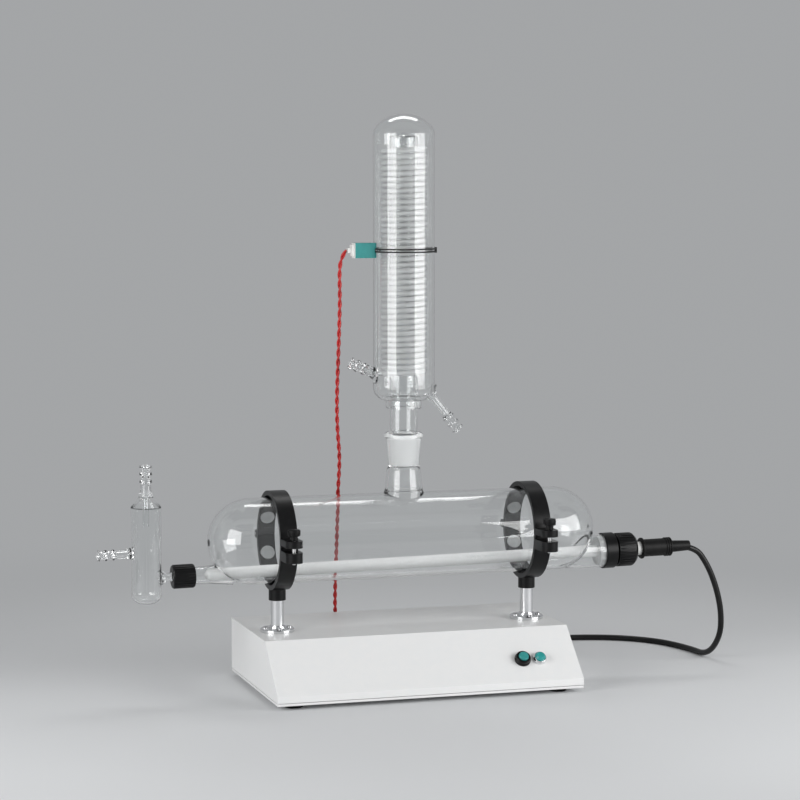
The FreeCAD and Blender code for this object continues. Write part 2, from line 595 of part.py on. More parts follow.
def barb_profile(root, end, share="1", teeth=3):
    # A hose tail: a plain tube, then sharp rings that lean back from the tip.
    body, crest, low = [f"{share} * {radius}" for radius in ("tail_radius", "barb_radius", "barb_root")]
    points = [("0", root), (body, root)]
    for k in range(teeth, 0, -1):
        start = f"{end} - barb_tip - barb_lead - {k - 1} * barb_pitch"
        if k == teeth:
            points.append((body, f"{start} - 2"))
        points += [(low, f"{start} - 1"), (crest, start), (crest, f"{start} + barb_lead")]
    return points + [(f"{crest} - barb_tip", end), ("0", end)]


def condenser():
    def dome(radius, top, knuckle_radius, height):
        # A shoulder of small radius that runs into a wide crown.
        arch = (f"((({height}) ^ 2 + (({radius}) - ({knuckle_radius})) ^ 2 - ({knuckle_radius}) ^ 2)"
                f" / (2 * (({height}) - ({knuckle_radius}))))")
        lean = f"atan((({radius}) - ({knuckle_radius})) / ({arch} - ({height})))"
        return [(radius, f"({top}) - ({height})"),
                (f"{arch} * sin({lean})", f"({top}) - {arch} * (1 - cos({lean}))", knuckle_radius),
                ("0", top, arch)]

    shift = "(jacket_radius - seal_ring_radius)"
    drop = "(bowl_top - seal_ring_high)"
    bowl = f"(({shift} ^ 2 + {drop} ^ 2) / (2 * {shift}))"
    outer = turned([
        ("0", "seal_ring_low"), ("seal_ring_radius - 1", "seal_ring_low"),
        ("seal_ring_radius", "seal_ring_low + 1"), ("seal_ring_radius", "seal_ring_high"),
        ("jacket_radius", "bowl_top", bowl)]
        + dome("jacket_radius", "jacket_top", "dome_knuckle", "dome_height"), AXIS)
    inner_bowl = f"({bowl} - jacket_wall)"
    foot_x = f"(jacket_radius - {bowl} + {inner_bowl} * (({bowl} - {shift}) / {bowl}))"
    foot_z = f"(bowl_top - {inner_bowl} * ({drop} / {bowl}))"
    inside = "(jacket_radius - jacket_wall)"
    inner = turned([
        ("0", foot_z), (foot_x, foot_z), (inside, "bowl_top", inner_bowl)]
        + dome(inside, "jacket_top - jacket_wall", "dome_knuckle - jacket_wall",
               "dome_height - jacket_wall"), AXIS)
    riser_hole = rod("riser_radius + pin_gap", "seal_ring_low - 1", f"{foot_z} + 1", AXIS)
    adds, cuts = barbs()
    named(less(fused(outer, *adds), inner, riser_hole, *cuts), "condenser_jacket")
    tube = "(riser_radius - riser_wall)"
    taper = "((cone_top_radius - cone_low_radius) / (cone_top - cone_low))"
    named(turned([
        ("cone_low_radius - 2.5", "cone_low + 2"),
        (f"cone_low_radius + 2 * {taper} - cone_gap", "cone_low + 2"),
        ("cone_top_radius - cone_gap", "cone_top"), ("riser_radius", "socket_top + 3"),
        ("riser_radius", "riser_top - 1"), ("riser_radius - 1", "riser_top"), (tube, "riser_top"),
        (tube, "socket_top + 3")], AXIS), "steam_riser")


def side_of(azimuth):
    return (-math.sin(math.radians(azimuth)), math.cos(math.radians(azimuth)), 0)


def tail(at, azimuth, rise, end, share="1"):
    # A hose tail and its bore. Its axis is turned from upright to the azimuth and rise asked for.
    turn = (at, side_of(azimuth), f"90 - ({rise})")
    flare = turned([
        ("0", "-3"), (f"{share} * tail_radius + tail_flare", "-3"), (f"{share} * tail_radius", "7", "-12"),
        ("0", "7")], *turn)
    bore = rod(f"{share} * barb_bore", "-12", f"{end} + 1", *turn)
    return [turned(barb_profile("-2", end, share), *turn), flare], [bore]


def barbs():
    adds, cuts = [], []
    reach = "(jacket_radius - jacket_wall / 2)"
    for angle, height in (("180", "coil_low"), ("coil_out_turn", COIL_TOP)):
        at = (f"{reach} * cos({angle})", f"boiler_place + {reach} * sin({angle})", f"{BOILER_Z} + {height}")
        body, bore = tail(at, number(angle), "coil_barb_rise", "coil_barb_reach - jacket_radius")
        adds += body
        cuts += bore
        cuts.append(rod("coil_tube + fit_gap", "coil_exit - 4", "jacket_radius + 1",
                        ("0", "boiler_place", f"{BOILER_Z} + {height}"),
                        side_of(number(angle)), "90"))
    at = ("outlet_place", "boiler_place", f"{BOILER_Z} + outlet_rise")
    body, bore = tail(at, 0, "-outlet_fall", "outlet_reach")
    return adds + body, cuts + bore


COIL_TURNS = 20
COIL_TOP = f"(coil_low + {COIL_TURNS} * coil_pitch)"


def tube_along(edges, radius, label):
    path = Part.Wire(edges)
    start = edges[0].valueAt(edges[0].FirstParameter)
    heading = edges[0].tangentAt(edges[0].FirstParameter)
    rim = Part.Wire(Part.makeCircle(radius, start, heading))
    item = doc.addObject("Part::Feature", label)
    item.Shape = path.makePipeShell([rim], True, False)
    return named(item, label)


def condenser_coil():
    r, low, pitch = number("coil_radius"), number("coil_low"), number("coil_pitch")
    bend, reach = number("coil_lead"), number("jacket_radius - jacket_wall / 2")
    centre = FreeCAD.Vector(0, number("boiler_place"), number(BOILER_Z))
    spread = math.degrees(math.asin(bend / (r + bend)))
    start, stop = 180 + spread, 360 * COIL_TURNS + number("coil_out_turn") - spread

    def spot(radius, angle, height):
        a = math.radians(angle)
        return centre + FreeCAD.Vector(radius * math.cos(a), radius * math.sin(a), height)

    def height(angle):
        return low + pitch * COIL_TURNS * (angle - start) / (stop - start)

    def lead(exit_angle, sign, z):
        # The bend that takes the tube from its loop out along a radius.
        hub = spot(r + bend, exit_angle + sign * spread, z)
        inner = spot(r, exit_angle + sign * spread, z)
        out = FreeCAD.Vector(math.cos(math.radians(exit_angle)), math.sin(math.radians(exit_angle)), 0)
        side = FreeCAD.Vector(-out.y, out.x, 0) * -sign
        last = hub + side * bend
        middle = hub + ((inner - hub) + (last - hub)).normalize() * bend
        return inner, middle, last, spot(reach, exit_angle, z)

    inner, middle, last, mouth = lead(180, 1, low)
    edges = [Part.LineSegment(mouth, last).toShape(), Part.Arc(last, middle, inner).toShape()]
    count = 4 * COIL_TURNS
    step = (stop - start) / count
    for k in range(count):
        a, b, c = [start + (k + share) * step for share in (0, 0.5, 1)]
        edges.append(Part.Arc(spot(r, a, height(a)), spot(r, b, height(b)), spot(r, c, height(c))).toShape())
    inner, middle, last, mouth = lead(number("coil_out_turn"), -1, low + pitch * COIL_TURNS)
    edges += [Part.Arc(inner, middle, last).toShape(), Part.LineSegment(last, mouth).toShape()]
    tube_along(edges, number("coil_tube"), "condenser_coil")
    print("coil gap", round(pitch - 2 * number("coil_tube"), 2))


SWITCH_MIDDLE = "(block_low + block_high) / 2"


def thermal_switch():
    middle = SWITCH_MIDDLE
    block = box("block_reach - jacket_radius + 4", "block_depth", "block_high - block_low",
                ("-(block_reach + jacket_radius - 4) / 2", "boiler_place", f"{BOILER_Z} + block_low"))
    seat = rod("jacket_radius + fit_gap", "block_low - 5", "block_high + 5", AXIS)
    reach = "band_pitch / 2 + band_wire + fit_gap"
    channel = ring("jacket_radius - 1", "jacket_radius + 2 * (fit_gap + band_wire)",
                   f"{middle} - ({reach})", f"{middle} + {reach}", AXIS)
    named(less(block, seat, channel), "thermal_switch")
    base = box("2.5", "block_depth - 3", "block_high - block_low - 4",
               ("-block_reach - 1.25", "boiler_place", f"{BOILER_Z} + block_low + 2"))
    tabs = [box("terminal_reach - block_reach", "0.8", "5",
                ("-(terminal_reach + block_reach) / 2", f"boiler_place + {s} * terminal_pitch / 2",
                 f"{BOILER_Z} + {middle} - 2.5")) for s in ("-1", "1")]
    named(fused(base, *tabs), "switch_terminals")
    loops = []
    for s in ("-1", "1"):
        loop = doc.addObject("Part::Torus", "loop")
        tie(loop, Radius1="jacket_radius + fit_gap + band_wire", Radius2="band_wire")
        loops.append(place(loop, ("0", "boiler_place", f"{BOILER_Z} + {middle} + {s} * band_pitch / 2")))
    clasp = box("3", "5", "band_pitch + 3",
                ("jacket_radius + 1.8", "boiler_place", f"{BOILER_Z} + {middle} - band_pitch / 2 - 1.5"))
    named(fused(*loops, clasp), "switch_band")


def level_set():
    at = ("-level_place_at", "boiler_place", BOILER_Z)
    inner = "(level_radius - level_wall)"
    outer = turned([
        ("0", "-level_low"), ("level_radius - level_corner", "-level_low"),
        ("level_radius", "level_corner - level_low", "level_corner"), ("level_radius", "level_shoulder"),
        ("tail_radius + 2.4", "level_neck")] + barb_profile("level_neck + 8", "level_top")[1:], at)
    hollow = turned([
        ("0", "level_wall - level_low"), ("level_radius - level_corner", "level_wall - level_low"),
        (inner, "level_corner - level_low", "level_corner - level_wall"), (inner, "level_shoulder - 0.8"),
        ("drop_tube + 0.6", "level_neck - 1.6"), ("0", "level_neck - 1.6")], at)
    drop = rod("drop_tube", "drop_end", "level_neck + 1", at)
    drop_bore = rod("barb_bore", "drop_end - 1", "level_top + 1", at)
    over_at = ("-level_place_at - level_radius + level_wall / 2", "boiler_place",
               f"{BOILER_Z} - overflow_drop")
    over, over_bore = tail(over_at, 180, "-2", "overflow_reach - level_radius + level_wall / 2",
                           "overflow_share")
    stub = on_heater(turned, [
        ("0", "level_radius - level_place_at - 2"),
        ("stub_radius + 4", "level_radius - level_place_at - 2"),
        ("stub_radius", "level_radius - level_place_at + 5"), ("stub_radius", "-stub_end_at"),
        ("0", "-stub_end_at")])
    stub_bore = on_heater(rod, "stub_bore", "level_radius - level_place_at - 5", "1 - stub_end_at")
    shell = less(fused(outer, *over, stub), hollow, *over_bore, stub_bore)
    named(less(fused(shell, drop), drop_bore), "level_vessel")
    named(on_heater(ring, "stub_radius + cap_gap", "nozzle_bore - fit_gap", "-nozzle_tip_at + 1",
                    "-nozzle_tip_at + 1 + seal_thick"), "level_seal")
    named(on_heater(turned, [
        ("stub_radius + cap_gap + 0.3", "-cap_high_at"), ("cap_radius - 0.8", "-cap_high_at"),
        ("cap_radius", "-cap_high_at + 0.8"), ("cap_radius", "-cap_low_at - 0.8"),
        ("cap_radius - 0.8", "-cap_low_at"), ("nozzle_radius + cap_gap", "-cap_low_at"),
        ("nozzle_radius + cap_gap", "-nozzle_tip_at - cap_gap"),
        ("stub_radius + cap_gap + 0.3", "-nozzle_tip_at - cap_gap")]), "level_cap")


def controls():
    collar = "button_top - 2"
    housing = on_slope(turned, [
        ("button_radius + slide_gap", "-14"), ("barrel_radius", "-14"), ("barrel_radius", "0"),
        ("housing_radius", "0"), ("housing_radius", "2.2"), ("housing_collar", "3"),
        ("housing_collar", f"{collar} - 0.7"), ("housing_collar - 0.7", collar),
        ("button_radius + slide_gap", collar)], x=BUTTON_X)
    named(housing, "button_housing")
    named(on_slope(turned, [
        ("0", "-6"), ("button_radius", "-6"), ("button_radius", "button_top - 0.6"),
        ("button_radius - 0.6", "button_top"), ("0", "button_top")], x=BUTTON_X), "power_button")
    named(on_slope(turned, [
        ("0", "-16"), ("barrel_radius", "-16"), ("barrel_radius", "0"), ("bezel_radius", "0"),
        ("bezel_radius", "1.6"), ("lens_radius + 0.9", "4"), ("lens_radius + fit_gap", "4"),
        ("lens_radius + fit_gap", "1"), ("0", "1")], x=LAMP_X), "lamp_bezel")
    named(on_slope(turned, [
        ("0", "1"), ("lens_radius", "1"), ("lens_radius", "5"), ("lens_radius - 1.6", "button_top - 0.8"),
        ("0", "button_top")], x=LAMP_X), "lamp_lens")
    for label, x in (("button_nut", BUTTON_X), ("lamp_nut", LAMP_X)):
        named(on_slope(ring, "barrel_radius + fit_gap", "nut_flat", "-cover_wall - 3.5",
                       "-cover_wall", x=x), label)


def rear_fittings():
    named(less(on_rear(turned, [
        ("0", "-6"), ("gland_radius - 2.6", "-6"), ("gland_radius - 2.6", "0"), ("gland_radius", "0"),
        ("gland_radius", "5"), ("gland_radius - 2.5", "9"), ("gland_radius - 4", "12"), ("0", "12")],
        x="gland_place", height="gland_height"),
        on_rear(rod, "lead_radius - 0.6", "-7", "13", x="gland_place", height="gland_height")), "lead_gland")
    named(on_rear(turned, [
        ("0", "-4"), ("grommet_radius - 0.5", "-4"), ("grommet_radius - 0.5", "-2"),
        ("grommet_radius - 1.5 - fit_gap", "-1.5"), ("grommet_radius - 1.5 - fit_gap", "0"),
        ("grommet_radius", "0"), ("grommet_radius - 1", "2.5"), ("0", "2.5")],
        x="-grommet_place", height="grommet_height"), "wire_grommet")
    width, high = "inlet_width", "inlet_high"
    middle = "(foot_height + inlet_height)"
    face = "base_depth / 2 - rear_recess"
    flange = box(f"{width} + 20", "2.5", f"{high} + 4",
                 ("inlet_place", f"{face} + 1.25", f"{middle} - {high} / 2 - 2"))
    body = box(f"{width} - 0.4", "20", f"{high} - 0.4",
               ("inlet_place", f"{face} - 9", f"{middle} - {high} / 2 + 0.2"))
    well = box(f"{width} - 4", "17", f"{high} - 4",
               ("inlet_place", f"{face} - 5.5", f"{middle} - {high} / 2 + 2"))
    blades = [box("2", "12", "4", (f"inlet_place + {dx}", f"{face} - 8", f"{middle} + {dz}"))
              for dx, dz in (("-7", "-4"), ("7", "-4"), ("0", "1"))]
    named(less(fused(flange, body), well), "power_inlet")
    named(fused(*blades), "inlet_blades")
    named(on_rear(turned, [
        ("0", "-fuse_length"), ("fuse_radius", "-fuse_length"), ("fuse_radius", "0"),
        ("fuse_cap_radius", "0"), ("fuse_cap_radius", "2"), ("fuse_radius + 1", "2"),
        ("fuse_radius + 1", "4"), ("fuse_radius - 2", "4"), ("fuse_radius - 2", "-2"), ("0", "-2")],
        x="fuse_place", height="inlet_height"), "fuse_holder")
    knob = on_rear(turned, [
        ("0", "-1.5"), ("fuse_radius - 2 - slide_gap", "-1.5"), ("fuse_radius - 2 - slide_gap", "4.3"),
        ("fuse_radius + 1", "4.3"), ("fuse_radius + 1", "10"), ("fuse_radius", "11"), ("0", "11")],
        x="fuse_place", height="inlet_height")
    slot = box("2 * fuse_radius - 2", "3", "1.6", ("fuse_place", f"{face} + 11", f"{middle} - 0.8"))
    named(less(knob, slot), "fuse_cap")


def inside_parts():
    named(box("relay_length", "relay_width", "relay_height", ("-70", "20", TRAY_TOP)), "power_relay")
    strip = box("strip_length", "strip_width", "strip_height", ("25", "-5", TRAY_TOP))
    wells = [cylinder("2.6", "8", (f"25 + {10 * k - 30}", "-5", f"{TRAY_TOP} + strip_height - 7"))
             for k in range(7)]
    named(less(strip, *wells), "terminal_block")


def cord(points, radius, label):
    # Straight runs joined by tangent arcs, through a list of hand chosen points.
    spots = [FreeCAD.Vector(*p) for p in points]
    edges = []
    here = spots[0]
    radii = []
    for before, corner, after in zip(spots, spots[1:], spots[2:]):
        back, on = (before - corner), (after - corner)
        turn = math.pi - back.getAngle(on)
        cut_back = 0.45 * min(back.Length, on.Length)
        radii.append(round(cut_back / math.tan(turn / 2), 1))
        entry = corner + back.normalize() * cut_back
        leave = corner + on.normalize() * cut_back
        depth = cut_back / math.tan(turn / 2) * (1 / math.cos(turn / 2) - 1)
        middle = corner + (back + on).normalize() * depth
        edges.append(Part.LineSegment(here, entry).toShape())
        edges.append(Part.Arc(entry, middle, leave).toShape())
        here = leave
    edges.append(Part.LineSegment(here, spots[-1]).toShape())
    length = sum(edge.Length for edge in edges)
    item = tube_along(edges, radius, label)
    share = item.Shape.Volume / (math.pi * radius ** 2 * length)
    print(label, "radii", radii, "length", round(length, 1), "volume share", round(share, 3))


def cords():
    tilt = math.radians(number("heater_tilt"))

    def along(station):
        return (station * math.cos(tilt), number("boiler_place"),
                number(HEATER[2]) + station * math.sin(tilt))

    end = number("relief_end_at") + 6
    gx, gy, gz = [number(f) for f in rear_at("gland_place", "gland_height")]
    cord([along(number("boot_high_at")), along(end), (end + 17, 4, 111), (end + 28, 4, 84),
          (end + 34, 4, 56), (end + 34.5, 8, 29), (end + 33, 38, 3.3), (end + 30, 82, 3.3),
          (end + 16, 130, 3.3), (end - 18, 166, 3.3), (268, 184, 3.3), (218, 187, 3.3),
          (172, 180, 4.5), (136, 163, 12), (116, 143, 23), (gx, gy + 34, gz), (gx, gy + 12, gz)],
         number("lead_radius"), "heater_lead")
    tx, ty = -number("terminal_reach") - 1, number("boiler_place")
    tz = number(f"{BOILER_Z} + {SWITCH_MIDDLE}")
    rx, ry, rz = [number(f) for f in rear_at("-grommet_place", "grommet_height")]
    cord([(tx, ty, tz + 0.5), (tx - 5, ty + 0.5, tz - 7.5), (tx - 6.5, ty + 3, tz - 20.5),
          (-67.5, 11.5, 410), (-67, 17, 375), (-66.5, 23.5, 340), (-66, 30, 306), (-63.5, 38, 272),
          (-58, 47, 238), (-57.5, 56.5, 204), (-56, 67, 170), (-53.5, 79.5, 136), (-50.5, 93, 102),
          (-47.9, 104.5, 72), (-44.5, 115, 56), (-42.8, 115, 45), (rx, 107, rz), (rx, ry + 2.5, rz)],
         number("wire_radius"), "sensor_wires")


base_cover()
base_tray()
rear_panel()
rubber_feet()
panel_screws()
for side, x in (("left", "post_inset - base_length / 2"), ("right", "base_length / 2 - post_inset")):
    post_set(side, x)
    lower_jaw(side, x)
    upper_jaw(side, x)
    thumbscrew(side, x)
boiler_vessel()
heater_line()
condenser()
condenser_coil()
thermal_switch()
level_set()
controls()
rear_fittings()
inside_parts()
cords()
doc.recompute()

faults = [(item.Name, item.Label, item.State) for item in doc.Objects
          if "Invalid" in item.State or "Error" in item.State]
assert not faults, faults
os.makedirs("parts", exist_ok=True)
for item in NODES:
    assert not item.Shape.isNull() and item.Shape.isValid(), item.Label
    item.Shape.exportStep(f"parts/{item.Label}.step")
    reach = item.Shape.BoundBox
    print(item.Label, len(item.Shape.Solids), round(item.Shape.Volume),
          [round(v, 1) for v in (reach.XMin, reach.XMax, reach.YMin, reach.YMax, reach.ZMin, reach.ZMax)])
print(len(NODES), "nodes")
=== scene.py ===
import json
import math
import bmesh
import bpy
from mathutils import Matrix, Vector

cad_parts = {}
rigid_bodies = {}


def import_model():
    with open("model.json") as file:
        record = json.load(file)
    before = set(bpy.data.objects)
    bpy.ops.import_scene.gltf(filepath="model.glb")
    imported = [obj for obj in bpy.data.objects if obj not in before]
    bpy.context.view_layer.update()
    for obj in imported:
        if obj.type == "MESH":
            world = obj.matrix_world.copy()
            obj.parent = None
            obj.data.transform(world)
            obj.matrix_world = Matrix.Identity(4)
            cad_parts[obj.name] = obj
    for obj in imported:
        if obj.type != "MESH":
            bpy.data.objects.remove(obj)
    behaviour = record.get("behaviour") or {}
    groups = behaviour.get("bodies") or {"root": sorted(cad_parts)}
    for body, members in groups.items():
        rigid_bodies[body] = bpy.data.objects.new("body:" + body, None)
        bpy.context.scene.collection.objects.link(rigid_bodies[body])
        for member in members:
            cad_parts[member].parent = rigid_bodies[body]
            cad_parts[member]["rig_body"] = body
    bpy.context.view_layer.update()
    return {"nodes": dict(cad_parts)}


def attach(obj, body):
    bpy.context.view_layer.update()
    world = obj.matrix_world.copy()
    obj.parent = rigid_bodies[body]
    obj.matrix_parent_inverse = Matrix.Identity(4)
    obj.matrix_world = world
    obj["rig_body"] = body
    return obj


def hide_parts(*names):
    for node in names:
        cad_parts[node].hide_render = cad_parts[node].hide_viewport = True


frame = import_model()
nodes = frame["nodes"]
print("frame loaded:", len(nodes), "nodes")

# Shared places, in metres, as the frame has them.
boilerY = 0.004
boilerZ = 0.1595
clampX = 0.1385
screwReach = 0.07
heaterHeight = 0.1293
heaterTilt = math.radians(0.8)
heaterTurn = Matrix.Rotation(math.pi / 2 - heaterTilt, 4, "Y")
heaterLine = Matrix.Translation((0, boilerY, heaterHeight)) @ heaterTurn


# Camera first, at the photograph's viewing angle.
shot = {"place": (-0.7825, -2.523, 0.5359), "down": 5.04, "turn": -17.12, "span": 18.06, "sensor": 36,
        "far": 50}
camera = bpy.data.cameras.new("camera")
cameraHolder = bpy.data.objects.new("camera", camera)
bpy.context.scene.collection.objects.link(cameraHolder)
cameraHolder.location = shot["place"]
cameraHolder.rotation_euler = (math.radians(90 - shot["down"]), 0, math.radians(shot["turn"]))
camera.sensor_width = shot["sensor"]
camera.angle = math.radians(shot["span"])
camera.clip_end = shot["far"]
bpy.context.scene.camera = cameraHolder
bpy.context.scene.view_settings.view_transform = "Standard"


# Materials.
def newMaterial(name, colour, roughness, metallic=0.0, specular=0.5):
    material = bpy.data.materials.new(name)
    material.use_nodes = True
    shader = material.node_tree.nodes["Principled BSDF"]
    shader.inputs["Base Color"].default_value = (*colour, 1)
    shader.inputs["Roughness"].default_value = roughness
    shader.inputs["Metallic"].default_value = metallic
    shader.inputs["Specular IOR Level"].default_value = specular
    return material, shader


def addNode(material, kind, **values):
    node = material.node_tree.nodes.new(kind)
    for key, value in values.items():
        if hasattr(node, key):
            setattr(node, key, value)
        else:
            node.inputs[key].default_value = value
    return node


def join(material, source, target):
    material.node_tree.links.new(source, target)


def noiseOn(material, scale, detail=3.0, stretch=(1, 1, 1)):
    place = addNode(material, "ShaderNodeTexCoord")
    mapping = addNode(material, "ShaderNodeMapping")
    mapping.inputs["Scale"].default_value = stretch
    noise = addNode(material, "ShaderNodeTexNoise", Scale=scale, Detail=detail)
    join(material, place.outputs["Object"], mapping.inputs["Vector"])
    join(material, mapping.outputs["Vector"], noise.inputs["Vector"])
    return noise


def spread(material, source, low, high, target):
    # Turns a 0 to 1 pattern into a span of values on a socket.
    ramp = addNode(material, "ShaderNodeMapRange")
    ramp.inputs["To Min"].default_value = low
    ramp.inputs["To Max"].default_value = high
    join(material, source, ramp.inputs["Value"])
    join(material, ramp.outputs["Result"], target)


def tint(material, source, dark, light, target):
    ramp = addNode(material, "ShaderNodeValToRGB")
    ramp.color_ramp.elements[0].color = (*dark, 1)
    ramp.color_ramp.elements[1].color = (*light, 1)
    ramp.color_ramp.elements[0].position = 0.3
    ramp.color_ramp.elements[1].position = 0.7
    join(material, source, ramp.inputs["Fac"])
    join(material, ramp.outputs["Color"], target)


def bumpFrom(material, shader, source, strength, depth):
    bump = addNode(material, "ShaderNodeBump")
    bump.inputs["Strength"].default_value = strength
    bump.inputs["Distance"].default_value = depth
    join(material, source, bump.inputs["Height"])
    join(material, bump.outputs["Normal"], shader.inputs["Normal"])


def grainMaterial(name, dark, light, rough, scale, bump=0.15, depth=0.0002, metallic=0.0, specular=0.5,
                  stretch=(1, 1, 1)):
    middle = [(a + b) / 2 for a, b in zip(dark, light)]
    material, shader = newMaterial(name, middle, sum(rough) / 2, metallic, specular)
    broad = noiseOn(material, scale / 12, 2, stretch)
    fine = noiseOn(material, scale, 4, stretch)
    tint(material, broad.outputs["Fac"], dark, light, shader.inputs["Base Color"])
    spread(material, fine.outputs["Fac"], rough[0], rough[1], shader.inputs["Roughness"])
    bumpFrom(material, shader, fine.outputs["Fac"], bump, depth)
    return material


def glassMaterial(name, colour, rough, ior=1.47, transmission=1.0, ripple=0.02, scale=60, depth=0.0004):
    material, shader = newMaterial(name, colour, sum(rough) / 2)
    shader.inputs["Transmission Weight"].default_value = transmission
    shader.inputs["IOR"].default_value = ior
    noise = noiseOn(material, scale, 2)
    spread(material, noise.outputs["Fac"], rough[0], rough[1], shader.inputs["Roughness"])
    bumpFrom(material, shader, noise.outputs["Fac"], ripple, depth)
    return material


finish = {
    "powderWhite": grainMaterial("powderWhite", (0.79, 0.795, 0.795), (0.805, 0.805, 0.8), (0.34, 0.44),
                                 1400, 0.1, 0.0001),
    "trayWhite": grainMaterial("trayWhite", (0.78, 0.78, 0.78), (0.8, 0.8, 0.8), (0.35, 0.45),
                               1200, 0.1, 0.0001),
    "chrome": grainMaterial("chrome", (0.72, 0.73, 0.74), (0.8, 0.8, 0.81), (0.04, 0.1),
                            500, 0.02, 0.00005, 1.0),
    "screwSteel": grainMaterial("screwSteel", (0.55, 0.55, 0.56), (0.68, 0.68, 0.68), (0.2, 0.34),
                                900, 0.08, 0.00005, 1.0),
    "blackPlastic": grainMaterial("blackPlastic", (0.002, 0.002, 0.0022), (0.005, 0.005, 0.0053), (0.26, 0.4),
                                  1500, 0.2, 0.0001, 0.0, 0.22),
    "blackRubber": grainMaterial("blackRubber", (0.002, 0.002, 0.002), (0.005, 0.005, 0.005), (0.4, 0.56),
                                 1800, 0.3, 0.00012, 0.0, 0.2),
    "leadRubber": grainMaterial("leadRubber", (0.002, 0.002, 0.002), (0.005, 0.005, 0.005), (0.26, 0.38),
                                1600, 0.15, 0.0001, 0.0, 0.3),
    "whiteSilicone": grainMaterial("whiteSilicone", (0.6, 0.61, 0.61), (0.7, 0.71, 0.71), (0.3, 0.45),
                                   900, 0.1, 0.0001),
    "whiteSleeve": grainMaterial("whiteSleeve", (0.76, 0.76, 0.74), (0.83, 0.83, 0.81), (0.35, 0.5),
                                 900, 0.1, 0.0001),
    "heaterCore": grainMaterial("heaterCore", (0.5, 0.5, 0.49), (0.62, 0.62, 0.6), (0.4, 0.6),
                                700, 0.2, 0.0001),
    "tealPlastic": grainMaterial("tealPlastic", (0.022, 0.23, 0.22), (0.035, 0.3, 0.29), (0.3, 0.42),
                                 900, 0.08, 0.00008),
    "tealLens": grainMaterial("tealLens", (0.015, 0.25, 0.24), (0.03, 0.34, 0.33), (0.1, 0.2),
                              600, 0.1, 0.0001),
    "brassNut": grainMaterial("brassNut", (0.62, 0.44, 0.16), (0.72, 0.54, 0.24), (0.25, 0.4),
                              800, 0.1, 0.00005, 1.0),
    "greyPlastic": grainMaterial("greyPlastic", (0.3, 0.3, 0.3), (0.38, 0.38, 0.38), (0.4, 0.55),
                                 1200, 0.2, 0.0001),
    "redWire": grainMaterial("redWire", (0.4, 0.012, 0.012), (0.52, 0.02, 0.018), (0.32, 0.44),
                             1500, 0.1, 0.00008),
    "clearGlass": glassMaterial("clearGlass", (0.985, 0.992, 0.992), (0.0, 0.015)),
    "coilGlass": glassMaterial("coilGlass", (0.97, 0.98, 0.98), (0.02, 0.06), 1.47, 0.6),
    "groundGlass": glassMaterial("groundGlass", (0.94, 0.95, 0.95), (0.4, 0.55), 1.47, 0.2, 0.25, 1600),
    "milkyQuartz": glassMaterial("milkyQuartz", (0.94, 0.945, 0.94), (0.2, 0.32), 1.45, 0.04, 0.1, 500),
}
print("materials made:", len(finish))


# Shape helpers.
def placed(name, work, materials, body, smoothAngle=35):
    # Ends a bmesh as a piece at the origin that rides a body.
    mesh = bpy.data.meshes.new(name)
    for edge in work.edges:
        edge.smooth = len(edge.link_faces) != 2 or edge.calc_face_angle(0) < math.radians(smoothAngle)
    for face in work.faces:
        face.smooth = True
    work.to_mesh(mesh)
    work.free()
    piece = bpy.data.objects.new(name, mesh)
    bpy.context.scene.collection.objects.link(piece)
    for material in materials:
        mesh.materials.append(finish[material])
    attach(piece, body)
    return piece


def softCopy(node, materials, bevel=0.0, zone=None):
    # A merged copy of a frame node, its sharp edges rounded a little. The zone picks a face's material.
    work = bmesh.new()
    work.from_mesh(nodes[node].data)
    bmesh.ops.remove_doubles(work, verts=work.verts, dist=1e-6)
    if bevel:
        bmesh.ops.dissolve_limit(work, angle_limit=math.radians(0.5), verts=work.verts, edges=work.edges,
                                 delimit=set())
    for face in work.faces:
        face.material_index = zone(face.calc_center_median(), face.normal) if zone else 0
    piece = placed(node + ".soft", work, materials, nodes[node]["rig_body"])
    if bevel:
        rounding = piece.modifiers.new("rounding", "BEVEL")
        rounding.width = bevel
        rounding.segments = 2
        rounding.limit_method = "ANGLE"
        rounding.angle_limit = math.radians(40)
        rounding.harden_normals = True
    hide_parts(node)
    return piece


def sweep(work, stations, sides):
    # Skins a round tube over stations of (place, heading, across, radius).
    rings = []
    for spot, heading, across, radius in stations:
        turn = Matrix((across, heading.cross(across), heading)).transposed().to_4x4()
        made = bmesh.ops.create_circle(work, segments=sides, radius=radius,
                                       matrix=Matrix.Translation(spot) @ turn)
        rings.append(made["verts"])
    for first, second in zip(rings, rings[1:]):
        for j in range(sides):
            work.faces.new((first[j], first[j - 1], second[j - 1], second[j]))
    work.faces.new(rings[0])
    work.faces.new(list(reversed(rings[-1])))


def ridges(node, facts, material):
    # A ring of small raised bars round a turned node, rooted in its surface.
    work = bmesh.new()
    length = facts["high"] - facts["low"]
    for k in range(facts["count"]):
        turn = Matrix.Rotation(2 * math.pi * k / facts["count"], 4, "Z")
        middle = Matrix.Translation((facts["radius"], 0, (facts["low"] + facts["high"]) / 2))
        size = Matrix.Diagonal((2 * facts["proud"], facts["width"], length, 1))
        bmesh.ops.create_cube(work, size=1, matrix=facts["place"] @ turn @ middle @ size)
    bmesh.ops.bevel(work, geom=work.edges[:], offset=facts["proud"] * 0.45, segments=2, profile=0.5,
                    affect="EDGES", material=-1)
    piece = placed(node + ".ridges", work, [material], nodes[node]["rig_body"])
    return piece


# Cords.
def nurbsRoute(name, points, resolution):
    curve = bpy.data.curves.new(name, "CURVE")
    curve.dimensions = "3D"
    spline = curve.splines.new("NURBS")
    spline.points.add(len(points) - 1)
    for spot, point in zip(spline.points, points):
        spot.co = (*point, 1)
    spline.order_u = 3
    spline.use_endpoint_u = True
    spline.resolution_u = resolution
    return curve


